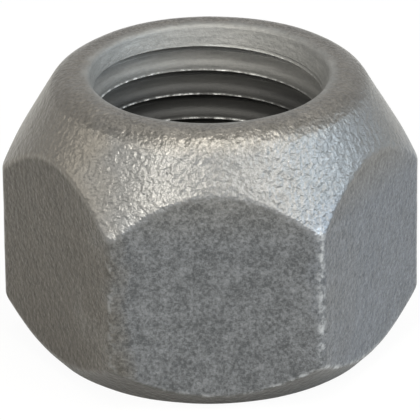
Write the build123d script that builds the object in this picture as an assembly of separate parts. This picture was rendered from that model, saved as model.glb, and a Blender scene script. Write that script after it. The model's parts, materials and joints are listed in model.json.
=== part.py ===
from build123d import *
import os
from math import cos, radians, tan

# Lug nut: a forged hexagon nut, open at both ends, with a conical seat.
# Millimetres and degrees. +Z runs along the thread, out of the seat end.
# The origin is the centre of the flat end face, which the nut stands on.

# Wrench hexagon
across_flats = 17.0
corner_radius = 0.6
height = 13.4

# Thread, metric fine and right hand: the bore has the thread's minor diameter
thread_major = 12.0
thread_pitch = 1.25
depth_per_pitch = 1.0825

# Countersinks that lead the stud in, by their depths and included angles
mouth_depth = 1.0
mouth_angle = 30.0
mouth_edge_radius = 0.15
entry_depth = 0.9
entry_angle = 90.0

# Conical seat, which centres the nut in the wheel's hole
seat_angle = 60.0
rim_wall = 1.5
rim_radius = 1.4

# End face, set in from the flats, and the chamfer that runs from it out over the corners
end_face_inset = 0.77
end_edge_radius = 0.2
corner_chamfer_angle = 46.5

# Softening where the seat cone and the chamfer run out on the flats
run_out_radius = 0.4


def rise(run, angle):
    """Height gained over a horizontal run by a slope at this angle from the horizontal."""
    return run * tan(radians(angle))


# Radii that follow from the sizes above
bore = (thread_major - depth_per_pitch * thread_pitch) / 2
mouth = bore + rise(mouth_depth, mouth_angle / 2)
entry = bore + rise(entry_depth, entry_angle / 2)
rim = mouth + rim_wall
end_face = across_flats / 2 - end_face_inset
corner = across_flats / 2 / cos(radians(30))

NODE = "lug_nut"


def corner_at(section, radius, z):
    """The section's corner at this radius and height."""
    return section.vertices().sort_by_distance((radius, z))[0]


def half_section():
    """One side of the section that a lathe would give, out to the hexagon's sharp corners."""
    chamfer_top = rise(corner - end_face, corner_chamfer_angle)
    cone_base = height - rise(corner - rim, 90 - seat_angle / 2)
    with BuildSketch(Plane.XZ) as section:
        with BuildLine():
            Polyline(
                (bore, entry_depth),
                (entry, 0),
                (end_face, 0),
                (corner, chamfer_top),
                (corner, cone_base),
                (rim, height),
                (mouth, height),
                (bore, height - mouth_depth),
                close=True,
            )
        make_face()
        fillet(corner_at(section, rim, height), rim_radius)
        fillet(corner_at(section, mouth, height), mouth_edge_radius)
        fillet(corner_at(section, end_face, 0), end_edge_radius)
    return section.sketch


def turned_form():
    """Everything round: bore, countersinks, rim, seat cone, corner chamfer and end face."""
    return revolve(half_section(), Axis.Z)


def hexagon_bar():
    """The hexagon, with its corners rounded and one flat facing -Y."""
    with BuildPart() as bar:
        with BuildSketch():
            RegularPolygon(across_flats / 2, 6, major_radius=False)
            fillet(vertices(), corner_radius)
        extrude(amount=height)
    return bar.part


def scalloped_edges(nut):
    """The wavy lines on which the seat cone and the chamfer run out on the flats and corners."""
    plain = (GeomType.CIRCLE, GeomType.LINE)
    cones = nut.faces().filter_by(GeomType.CONE)
    return [edge for cone in cones for edge in cone.edges() if edge.geom_type not in plain]


def lug_nut():
    """The turned form within the hexagon, softened where its cones meet the flats."""
    nut = turned_form() & hexagon_bar()
    return fillet(scalloped_edges(nut), run_out_radius)


nut = lug_nut()
nut.label = NODE
print(f"bore radius {bore:.4f}, mouth {mouth:.3f}, entry {entry:.3f}, rim {rim:.3f}, volume {nut.volume:.1f}")

os.makedirs("parts", exist_ok=True)
export_step(nut, f"parts/{NODE}.step")
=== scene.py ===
# %% [markdown]
# # A forged lug nut with a conical seat
# A lug nut holds a road wheel on its stud. This one is a short hexagon, open at both
# ends. Its top half is a cone that centres it in the wheel's hole, and its corners are
# chamfered below. It is forged, tapped with a fine thread, and coated in dull zinc.
#
# The CAD solid comes in as a fixed frame. The nut shown here is built again around it,
# in the order of the real work: turn a blank, press the flats, tap the thread, coat it.

# %% Load the fixed frame
import json
from math import atan2, cos, hypot, pi, radians, sin, sqrt, tan

import bmesh
import bpy
from mathutils import Matrix, Vector, noise


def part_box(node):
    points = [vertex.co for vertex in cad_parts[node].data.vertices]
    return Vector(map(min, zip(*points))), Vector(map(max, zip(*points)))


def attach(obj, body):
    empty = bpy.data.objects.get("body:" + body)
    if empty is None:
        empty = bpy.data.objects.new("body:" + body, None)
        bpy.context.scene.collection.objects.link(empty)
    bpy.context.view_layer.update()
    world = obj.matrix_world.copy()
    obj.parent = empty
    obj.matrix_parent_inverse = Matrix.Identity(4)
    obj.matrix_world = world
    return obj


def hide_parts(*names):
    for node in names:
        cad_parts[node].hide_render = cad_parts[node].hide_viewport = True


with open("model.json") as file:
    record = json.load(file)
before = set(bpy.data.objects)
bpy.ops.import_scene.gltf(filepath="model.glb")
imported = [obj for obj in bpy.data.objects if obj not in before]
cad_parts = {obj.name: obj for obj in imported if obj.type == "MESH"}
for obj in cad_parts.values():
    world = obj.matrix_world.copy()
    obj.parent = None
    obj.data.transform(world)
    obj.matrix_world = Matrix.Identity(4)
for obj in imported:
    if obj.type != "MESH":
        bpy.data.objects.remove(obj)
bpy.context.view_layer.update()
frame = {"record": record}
low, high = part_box("lug_nut")
print("CAD nut, mm:", [round(1000 * side, 2) for side in high - low])

# %% [markdown]
# ## Sizes
# The nut is shaped in millimetres, which are easy to read, and scaled to metres at the
# very end. Its height and its width across the flats come from the CAD solid, and the
# bore comes from the record. The rest repeats the solid's own section. The bore, mouth,
# rim and end face are radii here, and so are the distances to a flat and to a corner.

# %% Sizes in millimetres and degrees
height = 1000 * high.z
across_flats = 1000 * (high.y - low.y)
mounts = {mount["name"]: mount for mount in frame["record"]["mounts"]}
bore = mounts["stud_thread"]["dims"]["r_mm"]

thread_pitch = 1.25
thread_major = 12.0 / 2
mouth_depth = 1.0
mouth_half_angle = 15.0
entry_depth = 0.9
entry_half_angle = 45.0
rim_wall = 1.5
rim_radius = 1.4
seat_half_angle = 30.0
end_face_inset = 0.77
corner_chamfer = 46.5
corner_radius = 0.6
flats = 6

seat_slope = tan(radians(seat_half_angle))
chamfer_slope = tan(radians(corner_chamfer))
half_side = pi / flats
flat = across_flats / 2
corner = flat / cos(half_side)
mouth = bore + mouth_depth * tan(radians(mouth_half_angle))
rim = mouth + rim_wall
end_face = flat - end_face_inset
chamfer_top = (corner - end_face) * chamfer_slope
cone_base = height - (corner - rim) / seat_slope
print(f"bore {bore:.3f}, mouth {mouth:.3f}, rim {rim:.3f}, cone from {cone_base:.2f} up")

# %% [markdown]
# ## The turned blank
# Seen in section, half the nut is a polygon with eight corners. A few vertices are enough
# for it, and a vertex bevel then rounds the corners that are round on the real nut. The
# hole is drilled small here, because the tap cuts it to size later.
#
# The flats aren't there yet. Two vertex layers say how far each point of the section will
# give way when they are pressed: up along the seat cone, or down along the chamfer.

# %% Draw the section
drill = 5.0
drill_top = height - (mouth - drill) / tan(radians(mouth_half_angle))
entry = bore + entry_depth * tan(radians(entry_half_angle))
drill_foot = (entry - drill) / tan(radians(entry_half_angle))

section = bmesh.new()
up_cone = section.verts.layers.float.new("up_cone")
down_chamfer = section.verts.layers.float.new("down_chamfer")
outline = (
    (entry, 0), (end_face, 0), (corner, chamfer_top), (corner, cone_base),
    (rim, height), (mouth, height), (drill, drill_top), (drill, drill_foot),
)
section.faces.new([section.verts.new((radius, 0, z)) for radius, z in outline])
print("section corners:", len(section.verts))

# %% Helpers: corners
def point_at(radius, z):
    """The section's vertex nearest to this place."""
    return min(section.verts, key=lambda vert: (vert.co - Vector((radius, 0, z))).length)


def round_corner(shape, vert, cut_back, segments):
    """Bevel one corner of an outline, and return the points of its arc."""
    made = bmesh.ops.bevel(
        shape, geom=[vert], offset=cut_back, offset_type="OFFSET", segments=segments,
        profile=0.5, affect="VERTICES", material=-1, clamp_overlap=False,
    )
    return made["verts"]


def round_off(radius, z, fillet, segments):
    """Round one corner of the section with a fillet of this radius."""
    vert = point_at(radius, z)
    one, other = [edge.other_vert(vert).co - vert.co for edge in vert.link_edges]
    cut_back = fillet * tan((pi - one.angle(other)) / 2)
    return round_corner(section, vert, cut_back, segments)


# %% Round its corners
end_face_round = 0.2
mouth_round = 0.28
chamfer_edge_round = 0.6
seat_edge_round = 0.5

round_off(end_face, 0, end_face_round, segments=3)
round_off(rim, height, rim_radius, segments=12)
round_off(mouth, height, mouth_round, segments=6)
chamfer_edge = round_off(corner, chamfer_top, chamfer_edge_round, segments=5)
seat_edge = round_off(corner, cone_base, seat_edge_round, segments=5)
for points, layer in ((chamfer_edge, down_chamfer), (seat_edge, up_cone)):
    for vert in section.verts:
        vert[layer] = float(vert in points)
print("section points after rounding:", len(section.verts))

# %% [markdown]
# Long straight runs get more points, so that the forging's unevenness has something to
# move. Then the face goes, its outline stays, and one full spin turns it into a ring.

# %% Divide the long runs and spin
longest_step = 0.45
columns = 300

for edge in list(section.edges):
    cuts = int(edge.calc_length() / longest_step)
    if cuts:
        bmesh.ops.subdivide_edges(section, edges=[edge], cuts=cuts)
bmesh.ops.delete(section, geom=section.faces[:], context="FACES_ONLY")
bmesh.ops.spin(
    section, geom=section.verts[:] + section.edges[:], cent=(0, 0, 0), axis=(0, 0, 1),
    angle=2 * pi, steps=columns, use_merge=True,
)
blank = section
print("blank:", len(blank.verts), "vertices,", len(blank.faces), "faces")

# %% [markdown]
# ## Pressing the flats
# On the real nut the cone and the hexagon meet in a scalloped line, which is highest in
# the middle of each flat. That line needs no cutting. Where the hexagon's wall lies
# further in, the rounded edge above it slides up the cone by the same amount, so every
# ring of the mesh follows the line and its rounding stays even.
#
# The columns are first drawn towards the six corners, whose small radius needs them most.

# %% The hexagon's wall, seen from above
crowding = 0.75


def towards_corner(angle):
    """The angle from the nearest corner of the hexagon, whose flats face -Y and +Y."""
    return (angle + half_side) % (2 * half_side) - half_side


def wall_radius(angle):
    """The distance from the axis to the hexagon's wall, with rounded corners."""
    off_corner = towards_corner(angle)
    off_middle = half_side - abs(off_corner)
    arc_end = atan2((flat - corner_radius) * tan(half_side), flat)
    if off_middle <= arc_end:
        return flat / cos(off_middle)
    centre = (flat - corner_radius) / cos(half_side)
    off_centre = centre * abs(sin(off_corner))
    return centre * cos(off_corner) + sqrt(max(corner_radius**2 - off_centre**2, 0))


print(f"wall, mm from the axis: {wall_radius(half_side):.2f} to {wall_radius(0):.2f}")

# %% Slide the rings
blank_weld = 0.0005


def press(vert):
    """Move one vertex of the turned blank to where the pressed flats leave it."""
    angle = atan2(vert.co.y, vert.co.x)
    angle -= crowding * sin(flats * angle) / flats
    depth = corner - wall_radius(angle)
    radius = hypot(vert.co.x, vert.co.y) - depth * (vert[up_cone] + vert[down_chamfer])
    z = vert.co.z + depth / seat_slope * vert[up_cone]
    z -= depth * chamfer_slope * vert[down_chamfer]
    vert.co = (radius * cos(angle), radius * sin(angle), z)


for vert in blank.verts:
    press(vert)
bmesh.ops.remove_doubles(blank, verts=blank.verts[:], dist=blank_weld)
bmesh.ops.recalc_face_normals(blank, faces=blank.faces[:])
blank.normal_update()
print("across flats, mm:", round(max(vert.co.y for vert in blank.verts) * 2, 3))

# %% [markdown]
# ## The forging's unevenness
# A hot forging is never quite flat. Each vertex sinks by up to three hundredths of a
# millimetre, in broad soft patches, which is enough for the light to waver on the flats.
# It only ever sinks, so the nut keeps inside its solid.

# %% Sink the surface in soft patches
unevenness = 0.03
patch_size = 2.6
finer_patches = 2.3
finer_share = 0.5
noise_seed = 12

noise.seed_set(noise_seed)
for vert in blank.verts:
    patch = noise.noise(vert.co / patch_size)
    patch += finer_share * noise.noise(vert.co / patch_size * finer_patches)
    vert.co -= vert.normal * unevenness * min(max(0.5 + patch / 2, 0), 1)
print("the surface sinks by up to", unevenness, "mm")

# %% [markdown]
# ## The tap
# The thread is metric fine and right-handed. One tooth's outline is drawn across one
# pitch, and a spin that also climbs one pitch a turn makes the whole screw. Neighbouring
# turns then meet exactly and are merged. What places the screw is the height of one
# tooth's middle on the far side, at +Y, where the thread is seen best.
#
# A crest in the nut is what two grooves leave between them, so the gap between the
# tap's teeth shapes it. Here the crest leans back as it rises and is well rounded at the
# top, and a small burr stands along its lower edge, where the light draws a thin bright
# line. The bottom of each groove stays nearly sharp.

# %% Draw one tooth
tooth_centre_behind = 11.91
flank_angle = 30.0
crest_lean = 0.07
crest_cut_back = 0.24
burr_out = 0.04
burr_up = 0.065
root_cut_back = 0.012

flank_slope = tan(radians(flank_angle))
half_root = thread_pitch / 16
half_tooth = half_root + (thread_major - bore) * flank_slope
crest_foot = half_tooth - thread_pitch
crest_top = bore + burr_out + crest_lean
tooth = (
    (bore, crest_foot), (bore + burr_out, crest_foot + burr_up),
    (crest_top, (crest_top - bore) * flank_slope - half_tooth),
    (thread_major, -half_root), (thread_major, half_root), (bore, half_tooth),
)

tap = bmesh.new()
tooth_centre_right = tooth_centre_behind - thread_pitch / 4
points = [tap.verts.new((radius, 0, tooth_centre_right + z)) for radius, z in tooth]
for pair in zip(points, points[1:]):
    tap.edges.new(pair)
for vert, cut_back in zip(points[2:5], (crest_cut_back, root_cut_back, root_cut_back)):
    round_corner(tap, vert, cut_back, segments=6)
print("one tooth:", len(tap.verts), "points")

# %% Spin it through one turn, and stack the turns
steps_per_turn = 120
turns_below = 11
turns_above = 3
tap_weld = 0.001


def only_verts(items):
    """The vertices among these vertices, edges and faces."""
    return [item for item in items if isinstance(item, bmesh.types.BMVert)]


bmesh.ops.spin(
    tap, geom=tap.verts[:] + tap.edges[:], cent=(0, 0, 0), axis=(0, 0, 1),
    dvec=(0, 0, thread_pitch / steps_per_turn), angle=2 * pi, steps=steps_per_turn,
)
one_turn = tap.verts[:] + tap.edges[:] + tap.faces[:]
for turn in range(-turns_below, turns_above):
    copied = bmesh.ops.duplicate(tap, geom=one_turn)
    moved = only_verts(copied["geom"])
    bmesh.ops.translate(tap, verts=moved, vec=(0, 0, turn * thread_pitch))
bmesh.ops.delete(tap, geom=only_verts(one_turn), context="VERTS")
bmesh.ops.remove_doubles(tap, verts=tap.verts[:], dist=tap_weld)
print("tap:", len(tap.verts), "vertices")

# %% [markdown]
# The real tap leaves a smooth band under the mouth, where its groove grows shallow over
# part of a turn and ends. So near the top each point of the screw moves in to the bore,
# by how high its tooth stands there. Two flat cuts then close the screw's ends.

# %% Let the groove run out under the mouth
full_to = 12.2
gone_at = 12.75


def tooth_height(co):
    """The height of the middle of the tooth that this place belongs to."""
    turn = atan2(co.y, co.x) / (2 * pi) - 0.25  # counted from +Y
    nearest = round((co.z - tooth_centre_behind) / thread_pitch - turn)
    return tooth_centre_behind + thread_pitch * (turn + nearest)


for vert in tap.verts:
    radius = hypot(vert.co.x, vert.co.y)
    share = min(max((gone_at - tooth_height(vert.co)) / (gone_at - full_to), 0), 1)
    share = share * share * (3 - 2 * share)
    kept = (bore + (radius - bore) * share) / radius
    vert.co = (vert.co.x * kept, vert.co.y * kept, vert.co.z)
print("the groove is gone at", gone_at, "mm")

# %% Cut the screw's ends flat
past_the_nut = 0.5
on_the_plane = 0.0001

for z, side in ((-past_the_nut, -1), (height + past_the_nut, 1)):
    trimmed = bmesh.ops.bisect_plane(
        tap, geom=tap.verts[:] + tap.edges[:] + tap.faces[:], dist=on_the_plane,
        plane_co=(0, 0, z), plane_no=(0, 0, side), clear_outer=True,
    )
    ends = [item for item in trimmed["geom_cut"] if isinstance(item, bmesh.types.BMEdge)]
    bmesh.ops.edgeloop_fill(tap, edges=ends)
bmesh.ops.recalc_face_normals(tap, faces=tap.faces[:])
print("open edges on the tap:", sum(not edge.is_manifold for edge in tap.edges))

# %% [markdown]
# ## Tapping
# A Boolean takes the screw out of the blank, which leaves the thread. The exact solver
# keeps its edges clean. The result is applied, so the finished nut is one plain mesh.

# %% Cut the thread
def object_from(shape, name):
    """A new object that holds this bmesh, linked to the scene."""
    mesh = bpy.data.meshes.new(name)
    shape.to_mesh(mesh)
    shape.free()
    thing = bpy.data.objects.new(name, mesh)
    bpy.context.scene.collection.objects.link(thing)
    return thing


forging = object_from(blank, "forging")
screw = object_from(tap, "screw")
tapping = forging.modifiers.new("tapping", "BOOLEAN")
tapping.operation = "DIFFERENCE"
tapping.solver = "EXACT"
tapping.object = screw
bpy.context.view_layer.update()
tapped = forging.evaluated_get(bpy.context.evaluated_depsgraph_get())
nut_mesh = bpy.data.meshes.new_from_object(tapped)
for helper in (forging, screw):
    bpy.data.objects.remove(helper)
print("tapped nut:", len(nut_mesh.vertices), "vertices")

# %% [markdown]
# ## Where the nut rubs
# Loose nuts rub against each other. Their upright corners wear first, and then the edge
# where each flat meets the chamfer. Painting that by hand would have to be done again
# after every change, so each vertex is given a number from its own place instead. The
# coat's material reads it later, as an attribute.

# %% Measure the wear at one place
corner_wear_width = 0.35
foot_wear_height = 0.2
wall_skin = 0.08
clear_of_thread = 1.0


def corner_wear(co):
    """How much this place rubs against others: 1 on an upright corner, 0 beside it."""
    angle = atan2(co.y, co.x)
    side = abs(towards_corner(angle)) * corner / corner_wear_width
    in_wall = hypot(co.x, co.y) > wall_radius(angle) - wall_skin
    return max(1 - side, 0) if in_wall else 0


def foot_wear(co):
    """The same for the edge where each flat meets the chamfer."""
    angle = atan2(co.y, co.x)
    edge = chamfer_top - (corner - wall_radius(angle)) * chamfer_slope
    outside = hypot(co.x, co.y) > thread_major + clear_of_thread
    return max(1 - abs(co.z - edge) / foot_wear_height, 0) if outside else 0


foot_at_flat = chamfer_top - (corner - flat) * chamfer_slope
print(f"the chamfer's edge is {foot_at_flat:.2f} mm up in the middle of a flat")

# %% Finish the mesh, in metres
crease = radians(38)
nut_weld = 0.0004

finish = bmesh.new()
finish.from_mesh(nut_mesh)
bmesh.ops.remove_doubles(finish, verts=finish.verts[:], dist=nut_weld)
bmesh.ops.dissolve_degenerate(finish, edges=finish.edges[:], dist=nut_weld)
rubbed = finish.verts.layers.float.new("rubbed")
for vert in finish.verts:
    vert[rubbed] = max(corner_wear(vert.co), foot_wear(vert.co))
print("vertices that rub:", sum(vert[rubbed] > 0 for vert in finish.verts))
bmesh.ops.transform(finish, matrix=Matrix.Scale(0.001, 4), verts=finish.verts[:])
open_edges = sum(not edge.is_manifold for edge in finish.edges)
finish.to_mesh(nut_mesh)
finish.free()
nut_mesh.shade_smooth()
nut_mesh.set_sharp_from_angle(angle=crease)
nut = bpy.data.objects.new("lug_nut_forged", nut_mesh)
bpy.context.scene.collection.objects.link(nut)
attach(nut, "root")
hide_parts("lug_nut")
nut_mesh.calc_loop_triangles()
print("nut:", len(nut_mesh.loop_triangles), "triangles,", open_edges, "open edges")

# %% [markdown]
# ## The zinc coat
# The coat is dull, grainy zinc: fine dark and pale grains on the flats, and soft lumps on
# the cone that catch the light one by one. A picture wrapped round the nut would show a
# seam and stretch on the cone. So every pattern here is noise that fills space, read in
# Object coordinates, and the surface shows what it cuts through, as marble does.
#
# The helpers below keep the nodes readable. A socket knows the tree that it belongs to,
# as its `id_data`, so most of them need only sockets and numbers.

# %% Helpers: nodes and links
def put(value, socket):
    """Link another node's output to this input, or write a plain value into it."""
    if isinstance(value, bpy.types.NodeSocket):
        socket.id_data.links.new(value, socket)
    else:
        socket.default_value = value


def add_node(tree, kind, sockets=None, **settings):
    """Add a node, set its own properties and its inputs, and return it."""
    made = tree.nodes.new(kind)
    for name, value in settings.items():
        setattr(made, name, value)
    for name, value in (sockets or {}).items():
        put(value, made.inputs[name])
    return made


def tree_of(*values):
    """The tree of nodes that the sockets among these values belong to."""
    return next(value.id_data for value in values if isinstance(value, bpy.types.NodeSocket))


# %% Helpers: sums
def combine(kind, first, *others):
    """A row of Math nodes of one kind, between sockets and numbers."""
    for other in others:
        made = add_node(
            tree_of(first, other), "ShaderNodeMath", {0: first, 1: other}, operation=kind,
        )
        first = made.outputs[0]
    return first


def plus(*values):
    """All of these added up."""
    return combine("ADD", *values)


def minus(one, other):
    """The first less the second."""
    return combine("SUBTRACT", one, other)


def times(*values):
    """All of these multiplied."""
    return combine("MULTIPLY", *values)


def larger(*values):
    """The largest of these."""
    return combine("MAXIMUM", *values)


def ramp(value, start, end, at_start=0.0, at_end=1.0):
    """Go from at_start to at_end while the value goes from start to end."""
    made = add_node(value.id_data, "ShaderNodeMapRange", {
        "Value": value, "From Min": start, "From Max": end,
        "To Min": at_start, "To Max": at_end,
    })
    return made.outputs["Result"]


# %% Helpers: patterns and colours
def stretch(place, factors):
    """The same place, with each of its three axes multiplied by its own factor."""
    sockets = {"Vector": place, "Scale": factors}
    return add_node(place.id_data, "ShaderNodeMapping", sockets).outputs["Vector"]


def grain(place, per_mm, detail, roughness):
    """Fractal noise, with this many patches to the millimetre."""
    made = add_node(place.id_data, "ShaderNodeTexNoise", {
        "Vector": place, "Scale": per_mm, "Detail": detail, "Roughness": roughness,
    })
    return made.outputs["Fac"]


def blend_colours(share, one, other, way="MIX"):
    """Lay this share of the other colour over the first. A colour may be a socket."""
    one, other = (
        (*colour, 1) if isinstance(colour, tuple) else colour for colour in (one, other)
    )
    made = add_node(
        tree_of(share, one, other), "ShaderNodeMix", {"Factor": share, "A": one, "B": other},
        data_type="RGBA", blend_type=way,
    )
    return made.outputs["Result"]


# %% [markdown]
# ### Measures on the nut
# Four measures say where a point of the surface is, in millimetres: how far across to the
# right, how far up, how far out from the axis, and how deep below the seat end.

# %% Measure the place
zinc = bpy.data.materials.new("grainy_zinc")
zinc.use_nodes = True
tree = zinc.node_tree
shader = tree.nodes["Principled BSDF"]

metres = add_node(tree, "ShaderNodeTexCoord").outputs["Object"]
where = stretch(metres, (1000, 1000, 1000))
axes = add_node(tree, "ShaderNodeSeparateXYZ", {"Vector": where}).outputs
across, up = axes["X"], axes["Z"]
deep = minus(height, up)
flattened = stretch(where, (1, 1, 0))
from_axis = add_node(tree, "ShaderNodeVectorMath", {0: flattened}, operation="LENGTH")
out = from_axis.outputs["Value"]
print("measures:", len(tree.nodes), "nodes")

# %% [markdown]
# ### Grain
# Each size of grain does one thing. The lumps are the coat's fine grain, the ripples its
# soft swellings, the spots and clouds vary it more broadly, and the flakes are the tiny
# crystals of the zinc. The tool lines are noise squeezed along the axis, which makes
# rings round it.

# %% Noise of every size
noise_middle = 0.5

lumps = grain(where, per_mm=7.0, detail=3.0, roughness=0.75)
ripples = grain(where, per_mm=3.4, detail=2.0, roughness=0.5)
wear_and_highlight_patches = grain(where, per_mm=2.2, detail=3.0, roughness=0.7)
spots = grain(where, per_mm=1.6, detail=3.0, roughness=0.6)
clouds = grain(where, per_mm=0.35, detail=2.0, roughness=0.5)
tool_lines = grain(stretch(where, (0.7, 0.7, 11.0)), per_mm=1.0, detail=3.0, roughness=0.6)
flakes = add_node(tree, "ShaderNodeTexVoronoi", {
    "Vector": where, "Scale": 4.2, "Randomness": 1.0,
}).outputs["Distance"]
print("measures and patterns:", len(tree.nodes), "nodes")

# %% [markdown]
# ### Regions
# The inside is another surface, because the tap and the countersink cut through the first
# coat. It reaches a little way onto the rim, where noise makes its edge uneven. A second,
# plain test takes in the whole bore, out to the bottom of the grooves.
#
# The flats and the chamfer are told from the cone by the equations of the two cones, so
# their finish ends exactly on the scalloped line. Each pair of values below says between
# which two places a region fades in.

# %% Tell the regions apart
mouth_out = (6.1, 5.7)
mouth_wobble = 0.9
bore_out = (6.6, 6.4)
bore_deep = (0.4, 0.6)
thread_deep = (1.05, 1.3)
within_cone = (0.08, 0.2)
flats_deep = (1.6, 2.4)
chamfer_shade_fade = (0.12, 0.03)

wobble = times(minus(spots, noise_middle), mouth_wobble)
in_mouth = ramp(plus(out, wobble), *mouth_out)
in_bore = times(ramp(out, *bore_out), ramp(deep, *bore_deep))
inside = larger(in_mouth, in_bore)
in_thread = times(inside, ramp(deep, *thread_deep))

cone_here = minus(corner + cone_base * seat_slope, times(up, seat_slope))
on_flat = times(ramp(minus(cone_here, out), *within_cone), ramp(deep, *flats_deep))
chamfer_here = times(minus(out, end_face), chamfer_slope)
chamfer_shade_mask = ramp(minus(up, chamfer_here), *chamfer_shade_fade)
cone_end = corner - (height - cone_base) * seat_slope
print(f"the cone's equation gives {cone_end:.2f} mm at the seat end, the rim is {rim:.2f}")

# %% [markdown]
# ### The coat's grey
# The grain mixes a dark and a pale grey. It shows most on the flats and the rim, and less
# on the cone and towards the sides, where the coat is smoother. On the flats its middle is
# set darker, as painted shade.

# %% Grey grain
dark_zinc = (0.068, 0.069, 0.068)
pale_zinc = (0.2, 0.2, 0.198)
lump_share = 0.72
cone_contrast = 0.45
side_contrast = 0.65
cone_middle = 0.505
shaded_flat_middle = 0.46
grey_range = (0.36, 0.64)
near_rim_deep = (1.0, 0.3)
side_across = (4.5, 6.5)

grey = plus(times(lumps, lump_share), times(spots, 1 - lump_share))
aside = add_node(tree, "ShaderNodeMath", {0: across}, operation="ABSOLUTE").outputs[0]
on_flats = ramp(on_flat, 0, 1, cone_contrast, 1)
near_rim = ramp(deep, *near_rim_deep, cone_contrast, 1)
contrast = times(larger(on_flats, near_rim), ramp(aside, *side_across, 1, side_contrast))
# Painted shade: a darker middle grey on the flats than on the cone.
middle = ramp(on_flat, 0, 1, cone_middle, shaded_flat_middle)
mottle = plus(times(minus(grey, noise_middle), contrast), middle)
coat = blend_colours(ramp(mottle, *grey_range), dark_zinc, pale_zinc)
print("greys of the coat:", dark_zinc[0], "to", pale_zinc[0])

# %% [markdown]
# ### The cut metal inside
# The mouth and the thread are paler than the coat, and the tools have marked them with
# faint rings. Painted shade darkens them further down, so the deeper turns are nearly
# black. The edge of the mouth gets a little painted shade too, and so do the crests and
# grooves of the thread, apart from their burrs.

# %% Pale metal, with painted shade that grows with depth
dark_cut = (0.18, 0.182, 0.178)
pale_cut = (0.26, 0.26, 0.252)
line_share = 0.6
cut_range = (0.35, 0.65)
shade_deep = (1.6, 3.2)
darkest_painted_shade = 0.16
mouth_edge_shade_deep = (0.5, 0.15)
mouth_edge_shade = 0.8
crest_to_groove = (5.42, 5.8)
crest_shade, groove_shade = -0.4, -0.1

marked = plus(times(tool_lines, line_share), times(lumps, 1 - line_share))
clean_cut = blend_colours(ramp(marked, *cut_range), dark_cut, pale_cut)
# Painted shade: darker with depth in the bore, at the top edge of the mouth, and on the
# crests and in the grooves of the thread.
painted_depth_shade = ramp(deep, *shade_deep, 1, darkest_painted_shade)
painted_mouth_edge_shade = ramp(deep, *mouth_edge_shade_deep, 1, mouth_edge_shade)
painted_thread_shade = ramp(out, *crest_to_groove, crest_shade, groove_shade)
thread_shade_factor = plus(1.0, times(in_thread, painted_thread_shade))
cut = blend_colours(1.0, clean_cut, times(painted_depth_shade, painted_mouth_edge_shade, thread_shade_factor), "MULTIPLY")
print("greys of the cut metal:", dark_cut[0], "to", pale_cut[0])

# %% [markdown]
# ### Film and painted side light
# A thin brown film has settled on the rim. The left side of the nut is given a painted warm
# shade in the same brown, darkest on the flats there. Below the cone the rest of the coat
# gets a painted cool reflection, a little blue, more so on the right. All are tints that
# multiply the grey, and clouds of noise blur their edges.

# %% Brown film, painted warm shade and painted cool reflection
untinted = (1.0, 1.0, 1.0)
painted_cool_light_tint = (0.92, 1.02, 1.2)
film_and_warm_shade_tint = (1.07, 1.0, 0.9)
left_flat_painted_shade = (0.575, 0.525, 0.46)
cloud_reach = 5.0
left_shade_across = (-4.0, -6.5)
cool_light_across = (3.5, 7.0)
rim_deep = (1.0, 0.2)
cool_light_deep = (2.9, 4.9)
least_cool_light = 0.35
film_on_rim = 0.8

# Painted light: a warm shade on the left side, darkest on its flats, and a cool reflection
# below the cone, more on the right. The brown on the rim is a film.
loose_across = plus(across, times(minus(clouds, noise_middle), cloud_reach))
left_shade_mask = ramp(loose_across, *left_shade_across)
cool_light_mask = ramp(loose_across, *cool_light_across, least_cool_light, 1)
on_rim = ramp(deep, *rim_deep, 0, film_on_rim)
cool_light_below_cone = ramp(deep, *cool_light_deep)
film_and_left_shade = larger(left_shade_mask, on_rim)
tint = blend_colours(times(cool_light_mask, cool_light_below_cone, minus(1.0, film_and_left_shade)), untinted, painted_cool_light_tint)
tint = blend_colours(film_and_left_shade, tint, film_and_warm_shade_tint)
tint = blend_colours(times(left_shade_mask, on_flat), tint, left_flat_painted_shade)
tinted = blend_colours(1.0, coat, tint, "MULTIPLY")
print("the film starts", -left_shade_across[0], "mm to the left, give or take the clouds")

# %% [markdown]
# ### Worn edges, painted shade and painted highlights
# The chamfer gets painted shade, darker than the coat above it, as it faces the floor. Over
# both, the edges that rub are worn bright in broken patches, with a painted highlight
# that makes them brighter on the right. Inside, the burr on each crest gets a painted
# highlight of bright metal, strongest in the middle and on the left.

# %% Painted shade on the chamfer, worn and highlighted corners, highlighted burrs
chamfer_painted_shade = (0.06, 0.058, 0.053)
worn_metal_and_highlight = (0.38, 0.395, 0.41)
burr_painted_highlight = (0.6, 0.61, 0.61)
patch_range = (0.46, 0.64)
patch_least = 0.05
highlight_across = (-3.5, 3.5)
left_wear_and_highlight = 0.3
burr_highlight_reach = (bore + 0.045, bore + 0.015)
burr_highlight_deep = (0.95, 1.15)
most_burr_highlight = 0.9
burr_highlight_across = (1.0, 4.5)
right_burr_highlight = 0.2

rub = add_node(tree, "ShaderNodeAttribute", attribute_name="rubbed").outputs["Fac"]
patches = ramp(wear_and_highlight_patches, *patch_range, patch_least, 1)
# Wear on the edges that rub, with a painted highlight that is stronger on the right.
wear_and_highlight = times(rub, patches, ramp(across, *highlight_across, left_wear_and_highlight, 1))
# Painted shade darkens the chamfer, and the worn edges over it carry a painted highlight
# too.
outer = blend_colours(wear_and_highlight, blend_colours(chamfer_shade_mask, tinted, chamfer_painted_shade), worn_metal_and_highlight)

# Painted highlight: a bright line of metal along the burrs, strongest in the middle and on
# the left.
burr_highlight = times(ramp(out, *burr_highlight_reach), patches, ramp(deep, *burr_highlight_deep, 0, most_burr_highlight))
burr_highlight = times(burr_highlight, ramp(across, *burr_highlight_across, 1, right_burr_highlight))
inner = blend_colours(burr_highlight, cut, burr_painted_highlight)
put(blend_colours(inside, outer, inner), shader.inputs["Base Color"])
print("colour:", len(tree.nodes), "nodes")

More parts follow.
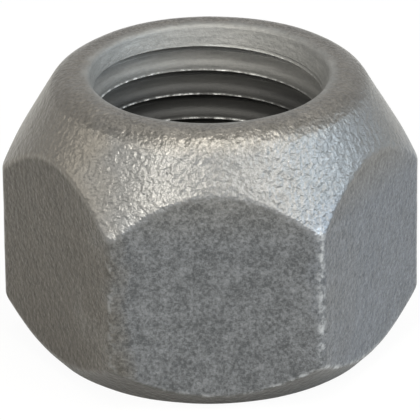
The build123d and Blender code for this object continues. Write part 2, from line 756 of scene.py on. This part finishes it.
# %% [markdown]
# ### Shine and relief
# The coat shines softly, and more on its pale lumps. The cut metal inside is rougher, and
# the oily thread looks the least like metal. The relief is four bumps, one on top of the
# other: the ripples, which are strongest on the cone, the grain, the flakes, and the tool
# lines inside.

# %% Roughness and metal
dark_lump_roughness = 0.38
pale_lump_roughness = 0.27
lump_range = (0.3, 0.7)
cut_roughness = 0.58
coat_metal = 0.85
cut_metal = 0.7
oily_thread_loss = 0.35

coat_roughness = ramp(lumps, *lump_range, dark_lump_roughness, pale_lump_roughness)
rougher = times(minus(cut_roughness, coat_roughness), inside)
put(plus(coat_roughness, rougher), shader.inputs["Roughness"])
metal = minus(ramp(inside, 0, 1, coat_metal, cut_metal), times(in_thread, oily_thread_loss))
put(metal, shader.inputs["Metallic"])
print(f"roughness: {pale_lump_roughness} to {dark_lump_roughness}, {cut_roughness} inside")

# %% Relief
cone_ripples, flat_ripples = 0.85, 0.45
lost_inside = 0.7
line_strength = 0.3

rippled = ramp(on_flat, 0, 1, cone_ripples, flat_ripples)
reliefs = (
    # pattern, strength, rise in metres
    (ripples, times(minus(1.0, times(inside, lost_inside)), rippled), 0.0001),
    (lumps, 0.5, 0.00003),
    (flakes, 0.12, 0.00003),
    (tool_lines, times(inside, line_strength), 0.000012),
)
normal = None
for pattern, strength, rise in reliefs:
    sockets = {"Height": pattern, "Strength": strength, "Distance": rise}
    bump = add_node(tree, "ShaderNodeBump", sockets)
    if normal:
        put(normal, bump.inputs["Normal"])
    normal = bump.outputs["Normal"]
put(normal, shader.inputs["Normal"])
nut_mesh.materials.clear()
nut_mesh.materials.append(zinc)
print("zinc coat:", len(tree.nodes), "nodes")

# %% [markdown]
# ## Floor and surroundings
# The nut stands on a pale floor, in front of white. The floor gives back real light, and
# the nut's faint shadow lies on it, but what the camera sees of it is lifted most of the
# way to white. In the metal's reflections it is lifted only a little. The world is white
# to the camera, a shade darker in the metal, and lights the nut only faintly, because the
# lamps do that.

# %% Floor
floor_half = 3.0
floor_grey = 0.7
floor_roughness = 0.9
floor_shine = 0.1

ground = bmesh.new()
bmesh.ops.create_grid(ground, x_segments=1, y_segments=1, size=floor_half)
floor = object_from(ground, "floor")
paint = bpy.data.materials.new("pale_floor")
paint.use_nodes = True
floor.data.materials.append(paint)
matt = paint.node_tree.nodes["Principled BSDF"]
put((floor_grey, floor_grey, floor_grey, 1), matt.inputs["Base Color"])
put(floor_roughness, matt.inputs["Roughness"])
put(floor_shine, matt.inputs["Specular IOR Level"])
print("floor:", 2 * floor_half, "m wide")

# %% Lift the floor towards white
def seen_directly(tree, by_camera, in_metal):
    """How much the camera, a reflection or a clear piece sees, and 0 for lighting."""
    rays = add_node(tree, "ShaderNodeLightPath").outputs
    return larger(
        times(rays["Is Camera Ray"], by_camera), times(rays["Is Glossy Ray"], in_metal),
        times(rays["Is Transmission Ray"], by_camera),
    )


floor_lift = 0.94
floor_lift_in_metal = 0.1

white = add_node(paint.node_tree, "ShaderNodeEmission", {"Strength": 1.0})
lifted = add_node(paint.node_tree, "ShaderNodeMixShader", {
    "Fac": seen_directly(paint.node_tree, floor_lift, floor_lift_in_metal),
    1: matt.outputs["BSDF"], 2: white.outputs["Emission"],
})
put(lifted.outputs["Shader"], paint.node_tree.nodes["Material Output"].inputs["Surface"])
print("the floor is lifted by", floor_lift, "or in metal by", floor_lift_in_metal)

# %% World
world_fill = 0.1
world_in_metal = 0.8

world = bpy.data.worlds.new("white_studio")
world.use_nodes = True
bpy.context.scene.world = world
sky = world.node_tree.nodes["Background"]
put((1, 1, 1, 1), sky.inputs["Color"])
seen = seen_directly(world.node_tree, 1.0, world_in_metal)
put(ramp(seen, 0, 1, world_fill, 1), sky.inputs["Strength"])
print("light from the world:", world_fill)

# %% [markdown]
# ## Lamps
# Dull metal shows soft boxes as pale patches on whatever turns towards them. Each side of
# the front has a pair. The lower box puts a highlight on the cone, a small one on the
# left and a long one on the right. The tall one above it lights the rolled rim and the
# far side of the mouth. Wider and weaker boxes fill the sides, the front flat and the
# back. Those on the left are warm and those on the far right are cool.
#
# Each box is given by its glow, which is how bright it looks, and not by its power. The
# sum of their shares is the light on the floor. It is about 2, where 1 would show a matt
# colour as it is written. The nut is nearly all metal, which shows what it faces and not
# what falls on it, and the greys of its coat are chosen for that.

# %% Helpers: a soft box
box_distance = 0.6


def towards(azimuth, elevation):
    """The direction from the nut to a place. Azimuth 0 is in front, 90 on the right."""
    turn, rise = radians(azimuth), radians(elevation)
    return Vector((sin(turn) * cos(rise), -cos(turn) * cos(rise), sin(rise)))


def soft_box(name, azimuth, elevation, wide, tall, glow, colour):
    """Set up a box that faces the nut, and return its share of the light on the floor."""
    lamp = bpy.data.lights.new(name, "AREA")
    lamp.shape = "RECTANGLE"
    lamp.size, lamp.size_y = wide, tall
    lamp.energy = pi * wide * tall * glow
    lamp.color = colour
    box = bpy.data.objects.new(name, lamp)
    bpy.context.scene.collection.objects.link(box)
    aim = towards(azimuth, elevation)
    box.location = box_distance * aim
    box.rotation_euler = aim.to_track_quat("Z", "Y").to_euler()
    return glow * wide * tall * sin(radians(elevation)) / (pi * box_distance**2)


# %% Soft boxes
warm = (1.0, 0.96, 0.87)
slightly_warm = (1.0, 0.98, 0.92)
plain = (0.93, 0.97, 1.0)
cool = (0.72, 0.87, 1.0)

boxes = (
    # name, azimuth, elevation, width, height, glow, colour
    ("left_highlight", -28, 34, 0.10, 0.15, 31.0, warm),
    ("left_upper", -24, 66, 0.11, 0.34, 12.0, warm),
    ("left_fill", -50, 36, 0.22, 0.14, 4.4, warm),
    ("left_back", -83, 22, 0.40, 0.20, 2.7, warm),
    ("right_highlight", 37, 33, 0.38, 0.13, 9.9, slightly_warm),
    ("right_upper", 36, 66, 0.26, 0.34, 6.5, slightly_warm),
    ("right_fill", 75, 22, 0.35, 0.20, 6.2, cool),
    ("right_top", 82, 46, 0.34, 0.34, 1.7, plain),
    ("front_low", 5, 9, 0.60, 0.24, 2.2, plain),
    ("right_back", 110, 12, 0.30, 0.20, 1.9, cool),
    ("back_top", 180, 60, 0.50, 0.35, 0.7, warm),
)
on_floor = world_fill + sum(soft_box(*box) for box in boxes)
print("light on the floor:", round(on_floor, 2))

# %% [markdown]
# ## Camera
# A long lens looks down at the nut from about thirty centimetres away, nearly square to
# one flat. Its length follows from the distance and from how wide a view it takes in.

# %% Camera
camera_elevation = 25.18
camera_azimuth = 1.41
camera_roll = 0.615
camera_distance = 0.289
view_width = 0.01971
sensor_width = 36
look_at = Vector((-0.00003, 0, 0.00631))

lens = bpy.data.cameras.new("camera")
lens.sensor_width = sensor_width
lens.lens = sensor_width * camera_distance / view_width
lens.clip_start = 0.01
lens.clip_end = 50
camera = bpy.data.objects.new("camera", lens)
bpy.context.scene.collection.objects.link(camera)
back = towards(-camera_azimuth, camera_elevation)
camera.location = look_at + camera_distance * back
facing = back.to_track_quat("Z", "Y").to_matrix().to_4x4()
camera.rotation_euler = (facing @ Matrix.Rotation(-radians(camera_roll), 4, "Z")).to_euler()
bpy.context.scene.camera = camera
bpy.context.scene.view_settings.view_transform = "Standard"
print("lens, mm:", round(lens.lens))
